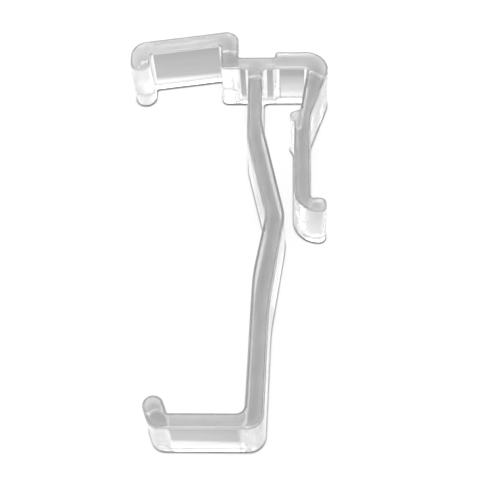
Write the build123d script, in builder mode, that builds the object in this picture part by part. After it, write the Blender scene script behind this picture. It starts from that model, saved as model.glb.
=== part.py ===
from build123d import *

import os
from math import cos, radians, sin, tan

# Clear moulded clip that hangs a valance board in front of a blind's headrail.
# It is one piece with the same section all along its width, and it lies on its side.
# The section is drawn in XY: +X runs back to the headrail and +Y runs up the valance.
# The origin is the seat corner, where the bar's underside meets the stem's rear face.
# Sizes are in millimetres and angles in degrees.

# Width of the clip along the headrail, and the broken edge all round both ends
clip_width = 12.7
edge_break = 0.35

# Bar that sits on the headrail's front lip, with a thicker pad at its rear
bar_thickness = 2.85
bar_front_reach = 8.5
bar_nose_radius = 1.0
pad_thickness = 4.15
pad_start = 2.4
pad_edge_radius = 0.75

# Hook that closes over the valance's top edge: a leg, a sloping roof and a lip
hook_rise = 9.7
leg_thickness = 3.65
roof_slope = 8.3
roof_thickness = 3.4
hook_rear_radius = 2.6
hook_front_radius = 3.5
top_pocket = 14.05
lip_thickness = 4.15
lip_length = 4.0

# Stem down the back of the valance: thin at the top, thickest at its knee
stem_top_thickness = 2.9
front_bend_drop = 16.75
rear_bend_drop = 12.4
bend_radius = 12.0
knee_drop = 33.6
knee_rear = 4.6
knee_thickness = 3.7
knee_radius = 8.0
calf_rear_run = 18.9
calf_rear = 1.85
calf_front_run = 12.4
calf_front = -1.35
calf_radius = 40.0
stem_drop = 72.65
stem_foot_rear = 1.05
stem_foot_thickness = 3.4
stem_foot_radius = 3.0

# Ledge under the valance, ending in a round keeper that leans out
ledge_thickness = 2.95
ledge_fillet = 1.5
bottom_pocket = 13.25
keeper_lean = 20.0
keeper_thickness = 3.8
keeper_length = 4.0
keeper_heel_radius = 2.5

# Sprung finger behind the headrail's lip, with a catch and a foot to pry it open
slot_top = 8.9
slot_bottom = 6.2
finger_thickness = 3.3
finger_inner_lean = 8.4
finger_outer_lean = 19.1
finger_bend_drop = 11.3
finger_bend_radius = 6.0
shoulder_radius = 4.4
catch_drop = 9.75
catch_height = 0.75
catch_undercut = 0.7
catch_nose = 1.0
catch_nose_radius = 0.8
catch_flank = 1.3
catch_flank_radius = 1.3
finger_drop = 32.95
foot_thickness = 3.2
foot_reach = 2.9
foot_edge_radius = 1.25
heel_radius = 5.0

# Fillets in the inside corners
seat_fillet = 1.0
stem_front_fillet = 0.7
finger_root_fillet = 0.6
corner_fillet = 0.4

# Largest share of a side that the two rounded corners at its ends may take up
corner_ratio = 0.98


def on_slope(start, angle, run):
    """Point reached from start after a level run along a line that climbs at this angle."""
    return (start[0] + run, start[1] + run * tan(radians(angle)))


def along(start, lean, length):
    """Point at this length from start along a line that leans forward from upright."""
    return (start[0] - length * sin(radians(lean)), start[1] + length * cos(radians(lean)))


def fitted_radii(points, radii):
    """The radii wanted at the corners, made smaller where two of them would overrun a side."""
    count = len(points)
    sides = [Vector(*points[(i + 1) % count]) - Vector(*points[i]) for i in range(count)]
    reaches = [
        radii[i] * tan(radians(sides[i - 1].get_angle(sides[i]) / 2))
        for i in range(count)
    ]
    shares = [
        min(1, corner_ratio * sides[i].length / (reaches[i] + reaches[(i + 1) % count]))
        for i in range(count)
    ]
    return [radii[i] * min(shares[i - 1], shares[i]) for i in range(count)]


def finger_corners():
    """Down the finger's inner face past the catch, round the foot and up to the shoulder."""
    catch_root = (slot_top - catch_drop * tan(radians(finger_inner_lean)), -catch_drop)
    nose_top = (slot_bottom - catch_height, -catch_drop - catch_undercut)
    nose_end = (nose_top[0], nose_top[1] - catch_nose)
    flank_end = (slot_bottom, nose_end[1] - catch_flank)
    finger_rear = slot_bottom + finger_thickness
    foot_end = finger_rear + foot_reach
    foot_top = foot_thickness - finger_drop
    shoulder_rise = finger_bend_drop + pad_thickness
    shoulder = (finger_rear + shoulder_rise * tan(radians(finger_outer_lean)), pad_thickness)
    return [
        ((slot_top, 0), finger_root_fillet),
        (catch_root, corner_fillet),
        (nose_top, catch_nose_radius),
        (nose_end, catch_nose_radius),
        (flank_end, catch_flank_radius),
        ((slot_bottom, -finger_drop), heel_radius),
        ((foot_end, -finger_drop), foot_edge_radius),
        ((foot_end, foot_top), foot_edge_radius),
        ((finger_rear, foot_top), corner_fillet),
        ((finger_rear, -finger_bend_drop), finger_bend_radius),
        (shoulder, shoulder_radius),
    ]


def hook_corners():
    """Forward along the bar's top, over the hook and back under it to the bar's nose."""
    leg_rear = leg_thickness - bar_front_reach
    lip_inner = -bar_front_reach - top_pocket
    lip_outer = lip_inner - lip_thickness
    rear_top = (leg_rear, hook_rise)
    front_top = on_slope(rear_top, roof_slope, lip_outer - leg_rear)
    roof_under = (leg_rear, hook_rise - roof_thickness / cos(radians(roof_slope)))
    lip_root = on_slope(roof_under, roof_slope, lip_inner - leg_rear)
    roof_end = on_slope(roof_under, roof_slope, -leg_thickness)
    lip_tip = lip_root[1] - lip_length
    return [
        ((pad_start, pad_thickness), pad_edge_radius),
        ((pad_start, bar_thickness), corner_fillet),
        ((leg_rear, bar_thickness), corner_fillet),
        (rear_top, hook_rear_radius),
        (front_top, hook_front_radius),
        ((lip_outer, lip_tip), lip_thickness / 2),
        ((lip_inner, lip_tip), lip_thickness / 2),
        (lip_root, corner_fillet),
        (roof_end, corner_fillet),
        ((-bar_front_reach, 0), bar_nose_radius),
    ]


def stem_front_corners():
    """Down the stem's front face from the bar to the ledge."""
    return [
        ((-stem_top_thickness, 0), stem_front_fillet),
        ((-stem_top_thickness, -front_bend_drop), bend_radius),
        ((knee_rear - knee_thickness, -knee_drop), knee_radius),
        ((calf_front, -knee_drop - calf_front_run), calf_radius),
        ((stem_foot_rear - stem_foot_thickness, -stem_drop), ledge_fillet),
    ]


def ledge_corners():
    """Forward along the ledge, round the keeper and back under the ledge to the stem."""
    ledge_under = -stem_drop - ledge_thickness
    keeper_root = (stem_foot_rear - stem_foot_thickness - bottom_pocket, -stem_drop)
    keeper_inner = along(keeper_root, keeper_lean, keeper_length)
    keeper_outer = along(keeper_inner, keeper_lean + 90, keeper_thickness)
    heel = along(keeper_outer, keeper_lean, (ledge_under - keeper_outer[1]) / cos(radians(keeper_lean)))
    return [
        (keeper_root, corner_fillet),
        (keeper_inner, keeper_thickness / 2),
        (keeper_outer, keeper_thickness / 2),
        (heel, keeper_heel_radius),
        ((stem_foot_rear, ledge_under), stem_foot_radius),
    ]


def stem_rear_corners():
    """Up the stem's rear face from the ledge to the seat."""
    return [
        ((calf_rear, -knee_drop - calf_rear_run), calf_radius),
        ((knee_rear, -knee_drop), knee_radius),
        ((0, -rear_bend_drop), bend_radius),
        ((0, 0), seat_fillet),
    ]


corners = finger_corners() + hook_corners() + stem_front_corners() + ledge_corners() + stem_rear_corners()
points = [point for point, radius in corners]
radii = fitted_radii(points, [radius for point, radius in corners])

with BuildPart() as clip:
    with BuildSketch(Plane.XY) as section:
        with BuildLine():
            FilletPolyline(*points, radius=radii, close=True)
        make_face()
    extrude(amount=clip_width)
    chamfer(clip.faces().filter_by(Axis.Z).edges(), edge_break)

clip.part.label = "valance_clip"
os.makedirs("parts", exist_ok=True)
export_step(clip.part, "parts/valance_clip.step")
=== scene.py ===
from math import cos, pi, radians, sin
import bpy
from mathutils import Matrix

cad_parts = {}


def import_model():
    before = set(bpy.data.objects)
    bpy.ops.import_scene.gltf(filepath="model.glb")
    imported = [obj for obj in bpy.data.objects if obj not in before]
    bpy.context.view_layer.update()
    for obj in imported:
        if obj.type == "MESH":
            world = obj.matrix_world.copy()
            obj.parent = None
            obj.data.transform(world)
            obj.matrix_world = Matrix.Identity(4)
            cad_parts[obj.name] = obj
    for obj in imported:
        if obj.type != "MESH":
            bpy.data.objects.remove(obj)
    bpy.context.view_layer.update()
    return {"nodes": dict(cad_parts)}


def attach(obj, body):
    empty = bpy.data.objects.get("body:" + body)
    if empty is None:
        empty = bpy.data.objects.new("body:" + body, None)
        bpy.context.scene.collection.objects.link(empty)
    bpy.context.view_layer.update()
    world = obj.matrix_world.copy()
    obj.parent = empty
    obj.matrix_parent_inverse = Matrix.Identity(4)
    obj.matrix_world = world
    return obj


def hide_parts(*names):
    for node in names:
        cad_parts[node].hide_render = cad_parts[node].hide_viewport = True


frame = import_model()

from types import SimpleNamespace

import bpy
from mathutils import Matrix, Vector

# Sizes and places are in metres and angles in degrees, in the frame of the imported part.
# A tint runs from 0, which lets no light through, to 1, which is clear. Besides the clear tint, the tints
# of walls, rims and end faces below are painted shade and painted light, standing in for how light falls
# through the clip.
# A share is how much of a tint is left where it is thinnest.

# Camera that looks down at the clip from beyond its ledge
CAMERA_PLACE = (0.006062, -0.144463, 0.207)
CAMERA_TILT = 28.0
CAMERA_YAW = 2.052
CAMERA_LENS = 86.4
CAMERA_SENSOR = 36.0
CAMERA_NEAR = 0.01
CAMERA_FAR = 20.0

# Round edges of both ends
MERGE_DISTANCE = 0.000001
FLAT_ANGLE = 0.5
RIM_ANGLE = 35.0
RIM_WIDTH = 0.00024
RIM_SEGMENTS = 4
SMOOTH_ANGLE = 40.0

# Clear plastic, and the width over which one tint gives way to another
PLASTIC_IOR = 1.58
CLEAR_TINT = 0.97
CLEAR_FADE = 0.0004

# Clouded gloss and shallow moulding waves
ROUGHNESS_LOW = 0.06
ROUGHNESS_HIGH = 0.11
CLOUD_SCALE = 260.0
CLOUD_DETAIL = 4.0
CLOUD_THIN = 0.32
CLOUD_THICK = 0.68
WAVE_SCALE = 420.0
WAVE_DETAIL = 2.0
WAVE_HEIGHT = 0.000012
WAVE_STRENGTH = 0.25

# Walls that face sideways, with a painted shade
SIDE_PAINTED_SHADE = 0.6
SIDE_FROM = 0.75
SIDE_FULL = 0.95

# Flat walls that face up or down the stem get a painted shade, which fades out to painted light near the
# floor and starts behind the lip.
# Its height is measured along a leaning line, and its start along a line slightly out of square.
WALL_PAINTED_SHADE = 0.15
WALL_FROM = 0.975
WALL_FULL = 0.987
WALL_LEAN = (0.0735, 0.0356, 1.0)
WALL_FADE_LOW = 0.0014
WALL_FADE_HIGH = 0.0032
WALL_FADE_TOP = 0.0110
WALL_LOW_SHARE = 0.85
WALL_INSET = (1.0, 0.0921, 0.0)
WALL_START = -0.0220

# Stretches of those walls left clear of the painted shade, as painted light: below the hook's leg, at the
# pad's step and at the stem's foot.
# The bar lies above one mark on the stem, and the ledge lies below another.
LEG_STRETCH = (-0.0086, -0.0048)
PAD_STRETCH = (0.0023, 0.0031)
STEM_FOOT = (-0.0036, -0.0020)
BAR_ABOVE = -0.02
LEDGE_BELOW = -0.06

# Wall under the pad, whose painted shade grows lighter towards the floor
PAD_START = 0.0035
PAD_FADE_LOW = 0.0045
PAD_FADE_HIGH = 0.0105
PAD_LOW_SHARE = 0.45

# Soft stripe of painted shade on the finger's foot, which lies behind one mark and below another
FOOT_BEHIND = 0.0060
FOOT_BELOW = -0.0290
FOOT_FROM = 0.82
FOOT_FULL = 1.0
FOOT_SHARE = 0.6

# Painted shade on the rims of both ends, lighter near the floor, and a darker painted shade high up where
# they face up the stem
RIM_PAINTED_SHADE = 0.52
RIM_FROM = 0.005
RIM_FULL = 0.06
RIM_LOW = 0.004
RIM_HIGH = 0.008
RIM_LOW_SHARE = 0.8
EDGE_PAINTED_SHADE = 0.08
EDGE_FROM = 0.0
EDGE_FULL = 0.2

# Painted shade on the end faces, dark at their core, with painted light in a margin, on the lip and on the
# catch
END_PAINTED_SHADE = 0.185
END_FROM = 0.7
END_FULL = 0.99
MARGIN_REACH = 0.0020
MARGIN_FROM = 0.57
MARGIN_FULL = 0.93
MARGIN_SAMPLES = 4
CLOUD_SHARE = 0.82
LIP_INNER = -0.0225
LIP_FADE_LOW = 0.0
LIP_FADE_HIGH = 0.0075
LIP_LOW_SHARE = 0.2
CATCH_REACH = (0.0050, 0.0068)
CATCH_RISE = (-0.0142, -0.0096)
CATCH_SHARE = 0.3

# Haze on the walls that face up the stem, thinner near the floor
HAZE_SHADE = 1.0
HAZE_SHARE = 0.45
HAZE_FROM = 0.02
HAZE_FULL = 0.25
HAZE_HEIGHT = 0.007
HAZE_LOW_SHARE = 0.2

# Pale floor, with a painted contact shadow: a thin dark line where the clip meets it
FLOOR_SPAN = 4.0
FLOOR_DROP = 0.00002
FLOOR_SHADE = 0.3
FLOOR_GLOW = 0.75
CONTACT_REACH = 0.00055
CONTACT_DARK = 0.55
CONTACT_CLEAR = 0.97

# White room and soft panels
WORLD_FILL = 0.1
WORLD_SEEN = 1.0
PANEL_DISTANCE = 1.0
SKY_LEAN = 0.0
SKY_SPAN = (1.68, 1.68)
SKY_LEVEL = 1.6
REAR_LEAN = 28.0
REAR_SPAN = (0.9, 0.5)
REAR_LEVEL = 1.2
FRONT_LEAN = -28.0
FRONT_SPAN = (0.6, 0.5)
FRONT_LEVEL = 2.0

# Light goes round many times inside clear plastic
LIGHT_BOUNCES = 32


def math_node(tree, operation, first, second=0):
    """A Math node fed by a socket and by a second socket or a plain number."""
    node = tree.nodes.new("ShaderNodeMath")
    node.operation = operation
    tree.links.new(first, node.inputs[0])
    if isinstance(second, (int, float)):
        node.inputs[1].default_value = second
    else:
        tree.links.new(second, node.inputs[1])
    return node.outputs[0]


def product(tree, first, *amounts):
    """All the amounts multiplied together."""
    for amount in amounts:
        first = math_node(tree, "MULTIPLY", first, amount)
    return first


def largest(tree, first, *amounts):
    """The largest of the amounts."""
    for amount in amounts:
        first = math_node(tree, "MAXIMUM", first, amount)
    return first


def ramp(tree, value, start, end, low, high):
    """A value that runs from low at start to high at end."""
    node = tree.nodes.new("ShaderNodeMapRange")
    node.inputs["From Min"].default_value = start
    node.inputs["From Max"].default_value = end
    node.inputs["To Min"].default_value = low
    node.inputs["To Max"].default_value = high
    tree.links.new(value, node.inputs["Value"])
    return node.outputs[0]


def after(tree, value, mark):
    """One past a mark, and nothing well before it."""
    return ramp(tree, value, mark - CLEAR_FADE, mark, 0, 1)


def before(tree, value, mark):
    """One up to a mark, and nothing well past it."""
    return ramp(tree, value, mark, mark + CLEAR_FADE, 1, 0)


def within(tree, value, span):
    """One inside a span, and nothing well outside it."""
    return product(tree, after(tree, value, span[0]), before(tree, value, span[1]))


def reach(tree, place, direction):
    """How far a place lies along a direction."""
    node = tree.nodes.new("ShaderNodeVectorMath")
    node.operation = "DOT_PRODUCT"
    node.inputs[1].default_value = direction
    tree.links.new(place, node.inputs[0])
    return node.outputs["Value"]


def blended(tree, first, second, amount):
    """A value that goes over from a first to a second by an amount."""
    node = tree.nodes.new("ShaderNodeMix")
    tree.links.new(first, node.inputs["A"])
    tree.links.new(second, node.inputs["B"])
    tree.links.new(amount, node.inputs["Factor"])
    return node.outputs["Result"]


def tinted(tree, below, tint_and_painted_shade, amount):
    """A painted grey shade laid by an amount over what lies below, which is a socket or a plain number."""
    node = tree.nodes.new("ShaderNodeMix")
    node.data_type = "RGBA"
    if isinstance(below, (int, float)):
        node.inputs["A"].default_value = (below, below, below, 1)
    else:
        tree.links.new(below, node.inputs["A"])
    node.inputs["B"].default_value = (tint_and_painted_shade, tint_and_painted_shade, tint_and_painted_shade, 1)
    tree.links.new(amount, node.inputs["Factor"])
    return node.outputs["Result"]


def noise(tree, place, scale, detail):
    """Cloudy noise of a scale and a detail."""
    node = tree.nodes.new("ShaderNodeTexNoise")
    node.inputs["Scale"].default_value = scale
    node.inputs["Detail"].default_value = detail
    tree.links.new(place, node.inputs["Vector"])
    return node.outputs[0]


def axes(tree, vector):
    """The X, Y and Z of a vector."""
    node = tree.nodes.new("ShaderNodeSeparateXYZ")
    tree.links.new(vector, node.inputs[0])
    return node.outputs


def clip_surface(tree):
    """Where a point of the surface lies, which way it faces and whether light enters there."""
    texture = tree.nodes.new("ShaderNodeTexCoord")
    facing = axes(tree, texture.outputs["Normal"])
    where = axes(tree, texture.outputs["Object"])
    backfacing = tree.nodes.new("ShaderNodeNewGeometry").outputs["Backfacing"]
    outward = ramp(tree, backfacing, 0, 1, 1, -1)
    return SimpleNamespace(
        place=texture.outputs["Object"],
        x=where["X"],
        y=where["Y"],
        z=where["Z"],
        entering=ramp(tree, backfacing, 0, 1, 1, 0),
        sideways=math_node(tree, "ABSOLUTE", facing["X"]),
        lengthways=math_node(tree, "ABSOLUTE", facing["Y"]),
        up_stem=product(tree, facing["Y"], outward),
        end_face=product(tree, facing["Z"], facing["Z"]),
    )


def side_painted_shade(tree, surface):
    """Painted shade of the walls that face sideways."""
    sideways = ramp(tree, surface.sideways, SIDE_FROM, SIDE_FULL, 0, 1)
    return product(tree, sideways, surface.entering)


def painted_shade_stretches(tree, surface):
    """One on the stretches of wall that get the painted shade, and nothing on those left clear as painted
    light.
    """
    below_leg = within(tree, surface.x, LEG_STRETCH)
    pad_step = within(tree, surface.x, PAD_STRETCH)
    on_bar = after(tree, surface.y, BAR_ABOVE)
    bar_clear = product(tree, largest(tree, below_leg, pad_step), on_bar)
    stem_foot = ramp(tree, surface.x, STEM_FOOT[0], STEM_FOOT[1], 0, 1)
    on_ledge = before(tree, surface.y, LEDGE_BELOW)
    ledge_clear = product(tree, stem_foot, on_ledge)
    return ramp(tree, largest(tree, bar_clear, ledge_clear), 0, 1, 1, 0)


def wall_painted_shade(tree, surface):
    """Painted shade of the flat walls that face up or down the stem, with a soft painted stripe of shade
    on the foot.
    """
    flat_wall = ramp(tree, surface.lengthways, WALL_FROM, WALL_FULL, 0, 1)
    foot_shade_stripe = ramp(tree, surface.lengthways, FOOT_FROM, FOOT_FULL, 0, FOOT_SHARE)
    behind = after(tree, surface.x, FOOT_BEHIND)
    on_foot = product(tree, behind, before(tree, surface.y, FOOT_BELOW))
    height = reach(tree, surface.place, WALL_LEAN)
    above_floor = ramp(tree, height, WALL_FADE_LOW, WALL_FADE_HIGH, 0, 1)
    deepening = ramp(tree, height, WALL_FADE_HIGH, WALL_FADE_TOP, WALL_LOW_SHARE, 1)
    behind_lip = after(tree, reach(tree, surface.place, WALL_INSET), WALL_START)
    under_pad = ramp(tree, surface.z, PAD_FADE_LOW, PAD_FADE_HIGH, PAD_LOW_SHARE, 1)
    return product(
        tree,
        blended(tree, flat_wall, foot_shade_stripe, on_foot),
        surface.entering,
        above_floor,
        deepening,
        behind_lip,
        painted_shade_stretches(tree, surface),
        largest(tree, under_pad, before(tree, surface.x, PAD_START)),
    )


def catch_fading(tree, surface):
    """The share of painted shade that is left on the catch, and one elsewhere."""
    catch_reach = within(tree, surface.x, CATCH_REACH)
    catch_rise = within(tree, surface.y, CATCH_RISE)
    return ramp(tree, product(tree, catch_reach, catch_rise), 0, 1, 1, CATCH_SHARE)


def rim_painted_shade(tree, surface, catch_share):
    """Painted shade of the rims of both ends."""
    rim = ramp(tree, surface.end_face, RIM_FROM, RIM_FULL, 0, 1)
    high = ramp(tree, surface.z, RIM_LOW, RIM_HIGH, RIM_LOW_SHARE, 1)
    return product(tree, rim, high, catch_share)


def edge_painted_shade(tree, surface, rim):
    """Darker painted shade of the upper rims where they face up the stem."""
    facing_up = ramp(tree, surface.up_stem, EDGE_FROM, EDGE_FULL, 0, 1)
    high = ramp(tree, surface.z, RIM_LOW, RIM_HIGH, 0, 1)
    return product(tree, rim, facing_up, high)


def end_painted_shade(tree, surface, cloud, catch_share):
    """Painted shade of the end faces, clouded, and thin in a margin of painted light along their edges."""
    margin = tree.nodes.new("ShaderNodeAmbientOcclusion")
    margin.inside = True
    margin.only_local = True
    margin.samples = MARGIN_SAMPLES
    margin.inputs["Distance"].default_value = MARGIN_REACH
    end = ramp(tree, surface.end_face, END_FROM, END_FULL, 0, 1)
    core = ramp(tree, margin.outputs["AO"], MARGIN_FROM, MARGIN_FULL, 0, 1)
    cloudiness = ramp(tree, cloud, CLOUD_THIN, CLOUD_THICK, CLOUD_SHARE, 1)
    lip = ramp(tree, surface.y, LIP_FADE_LOW, LIP_FADE_HIGH, LIP_LOW_SHARE, 1)
    past_lip = after(tree, surface.x, LIP_INNER + CLEAR_FADE)
    return product(tree, end, core, cloudiness, largest(tree, lip, past_lip), catch_share)


def moulding_waves(tree, surface):
    """Shallow waves that the mould leaves on every face."""
    waves = tree.nodes.new("ShaderNodeBump")
    waves.inputs["Strength"].default_value = WAVE_STRENGTH
    waves.inputs["Distance"].default_value = WAVE_HEIGHT
    tree.links.new(noise(tree, surface.place, WAVE_SCALE, WAVE_DETAIL), waves.inputs["Height"])
    return waves.outputs["Normal"]


def hazed(tree, surface, plastic):
    """The plastic with haze over the walls that face up the stem."""
    haze = tree.nodes.new("ShaderNodeBsdfTranslucent")
    haze.inputs["Color"].default_value = (HAZE_SHADE, HAZE_SHADE, HAZE_SHADE, 1)
    upper_walls = ramp(tree, surface.up_stem, HAZE_FROM, HAZE_FULL, 0, HAZE_SHARE)
    thinning = ramp(tree, surface.z, 0, HAZE_HEIGHT, HAZE_LOW_SHARE, 1)
    both = tree.nodes.new("ShaderNodeMixShader")
    tree.links.new(product(tree, upper_walls, thinning), both.inputs[0])
    tree.links.new(plastic, both.inputs[1])
    tree.links.new(haze.outputs[0], both.inputs[2])
    return both.outputs[0]


def clear_plastic():
    """Clear moulded plastic with painted shade through its ends, rims and walls, and hazed on its upper
    walls.
    """
    material = bpy.data.materials.new("clear_plastic")
    material.use_nodes = True
    tree = material.node_tree
    surface = clip_surface(tree)
    cloud = noise(tree, surface.place, CLOUD_SCALE, CLOUD_DETAIL)
    catch_share = catch_fading(tree, surface)
    rim = rim_painted_shade(tree, surface, catch_share)

    # Over the clear tint lie painted shades of the sideways walls, flat walls, rims, upper edges and end
    # faces.
    tint_and_painted_shade = tinted(tree, CLEAR_TINT, SIDE_PAINTED_SHADE, side_painted_shade(tree, surface))
    tint_and_painted_shade = tinted(tree, tint_and_painted_shade, WALL_PAINTED_SHADE, wall_painted_shade(tree, surface))
    tint_and_painted_shade = tinted(tree, tint_and_painted_shade, RIM_PAINTED_SHADE, rim)
    tint_and_painted_shade = tinted(tree, tint_and_painted_shade, EDGE_PAINTED_SHADE, edge_painted_shade(tree, surface, rim))
    tint_and_painted_shade = tinted(tree, tint_and_painted_shade, END_PAINTED_SHADE, end_painted_shade(tree, surface, cloud, catch_share))
    roughness = ramp(tree, cloud, CLOUD_THIN, CLOUD_THICK, ROUGHNESS_LOW, ROUGHNESS_HIGH)

    shader = tree.nodes["Principled BSDF"]
    shader.inputs["IOR"].default_value = PLASTIC_IOR
    shader.inputs["Transmission Weight"].default_value = 1.0
    tree.links.new(tint_and_painted_shade, shader.inputs["Base Color"])
    tree.links.new(roughness, shader.inputs["Roughness"])
    tree.links.new(moulding_waves(tree, surface), shader.inputs["Normal"])
    finished = hazed(tree, surface, shader.outputs[0])
    tree.links.new(finished, tree.nodes["Material Output"].inputs["Surface"])
    return material


def rounded_clip(solid, plastic):
    """The moulded clip: the solid's own shape, with the broken edges of both ends made round."""
    bpy.ops.object.select_all(action="DESELECT")
    clip = solid.copy()
    clip.data = solid.data.copy()
    clip.name = "moulded_clip"
    clip.data.name = "moulded_clip"
    bpy.context.scene.collection.objects.link(clip)
    clip.select_set(True)
    bpy.context.view_layer.objects.active = clip
    bpy.ops.object.mode_set(mode="EDIT")
    bpy.ops.mesh.select_all(action="SELECT")
    bpy.ops.mesh.remove_doubles(threshold=MERGE_DISTANCE)
    bpy.ops.mesh.dissolve_limited(angle_limit=radians(FLAT_ANGLE))
    bpy.ops.object.mode_set(mode="OBJECT")
    rim = clip.modifiers.new("rim", "BEVEL")
    rim.limit_method = "ANGLE"
    rim.angle_limit = radians(RIM_ANGLE)
    rim.width = RIM_WIDTH
    rim.segments = RIM_SEGMENTS
    rim.use_clamp_overlap = False
    rim.harden_normals = False
    bpy.ops.object.modifier_apply(modifier="rim")
    bpy.ops.object.shade_smooth_by_angle(angle=radians(SMOOTH_ANGLE))
    flat = clip.modifiers.new("flat", "WEIGHTED_NORMAL")
    flat.keep_sharp = True
    bpy.ops.object.modifier_apply(modifier="flat")
    clip.data.materials.clear()
    clip.data.materials.append(plastic)
    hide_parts("valance_clip")
    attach(clip, "root")


def floor_white():
    """Matte white that glows where it is seen, except in a painted contact shadow, a thin line round the
    clip.
    """
    material = bpy.data.materials.new("floor_white")
    material.use_nodes = True
    tree = material.node_tree
    tree.nodes.clear()
    matte = tree.nodes.new("ShaderNodeBsdfDiffuse")
    matte.inputs["Color"].default_value = (FLOOR_SHADE, FLOOR_SHADE, FLOOR_SHADE, 1)
    painted_contact_shadow = tree.nodes.new("ShaderNodeAmbientOcclusion")
    painted_contact_shadow.inputs["Distance"].default_value = CONTACT_REACH
    unshadowed_floor = ramp(tree, painted_contact_shadow.outputs["AO"], CONTACT_DARK, CONTACT_CLEAR, 0, 1)
    rays = tree.nodes.new("ShaderNodeLightPath").outputs
    to_camera = product(tree, rays["Is Camera Ray"], unshadowed_floor)
    seen = largest(tree, to_camera, rays["Is Glossy Ray"], rays["Is Transmission Ray"])
    glow = tree.nodes.new("ShaderNodeEmission")
    tree.links.new(product(tree, seen, FLOOR_GLOW), glow.inputs["Strength"])
    both = tree.nodes.new("ShaderNodeAddShader")
    tree.links.new(matte.outputs[0], both.inputs[0])
    tree.links.new(glow.outputs[0], both.inputs[1])
    out = tree.nodes.new("ShaderNodeOutputMaterial")
    tree.links.new(both.outputs[0], out.inputs["Surface"])
    return material


def pale_floor():
    """The floor that the clip lies on."""
    bpy.ops.object.select_all(action="DESELECT")
    bpy.ops.mesh.primitive_plane_add(size=FLOOR_SPAN, location=(0, 0, -FLOOR_DROP))
    floor = bpy.context.object
    floor.name = "floor"
    floor.data.materials.append(floor_white())


def studio_world():
    """A white room: bright where it is seen, and a faint fill on the clip."""
    world = bpy.data.worlds.new("studio")
    bpy.context.scene.world = world
    world.use_nodes = True
    tree = world.node_tree
    rays = tree.nodes.new("ShaderNodeLightPath").outputs
    seen = largest(tree, rays["Is Camera Ray"], rays["Is Glossy Ray"], rays["Is Transmission Ray"])
    back = tree.nodes["Background"]
    back.inputs["Color"].default_value = (1, 1, 1, 1)
    tree.links.new(ramp(tree, seen, 0, 1, WORLD_FILL, WORLD_SEEN), back.inputs["Strength"])


def soft_panel(name, lean, span, level):
    """An oval lamp over the clip, leant up or down its stem, that points at the seat corner."""
    data = bpy.data.lights.new(name, "AREA")
    data.shape = "ELLIPSE"
    data.size = span[0]
    data.size_y = span[1]
    area = pi * span[0] * span[1] / 4
    data.energy = level * pi * area
    lamp = bpy.data.objects.new(name, data)
    bpy.context.scene.collection.objects.link(lamp)
    seat_corner = Vector((0, 0, 0))
    lamp.location = PANEL_DISTANCE * Vector((0, sin(radians(lean)), cos(radians(lean))))
    lamp.rotation_euler = (seat_corner - lamp.location).to_track_quat("-Z", "Y").to_euler()


def photo_camera():
    """The camera, tilted back and turned a little about its own upright."""
    data = bpy.data.cameras.new("camera")
    data.lens = CAMERA_LENS
    data.sensor_width = CAMERA_SENSOR
    data.clip_start = CAMERA_NEAR
    data.clip_end = CAMERA_FAR
    camera = bpy.data.objects.new("camera", data)
    bpy.context.scene.collection.objects.link(camera)
    camera.location = CAMERA_PLACE
    turn = Matrix.Rotation(radians(CAMERA_TILT), 3, "X") @ Matrix.Rotation(radians(CAMERA_YAW), 3, "Y")
    camera.rotation_euler = turn.to_euler()
    bpy.context.scene.camera = camera


rounded_clip(frame["nodes"]["valance_clip"], clear_plastic())
pale_floor()
studio_world()
soft_panel("sky_panel", SKY_LEAN, SKY_SPAN, SKY_LEVEL)
soft_panel("rear_panel", REAR_LEAN, REAR_SPAN, REAR_LEVEL)
soft_panel("front_panel", FRONT_LEAN, FRONT_SPAN, FRONT_LEVEL)
photo_camera()

light_paths = bpy.context.scene.cycles
light_paths.max_bounces = LIGHT_BOUNCES
light_paths.glossy_bounces = LIGHT_BOUNCES
light_paths.transmission_bounces = LIGHT_BOUNCES
bpy.context.scene.view_settings.view_transform = "Standard"
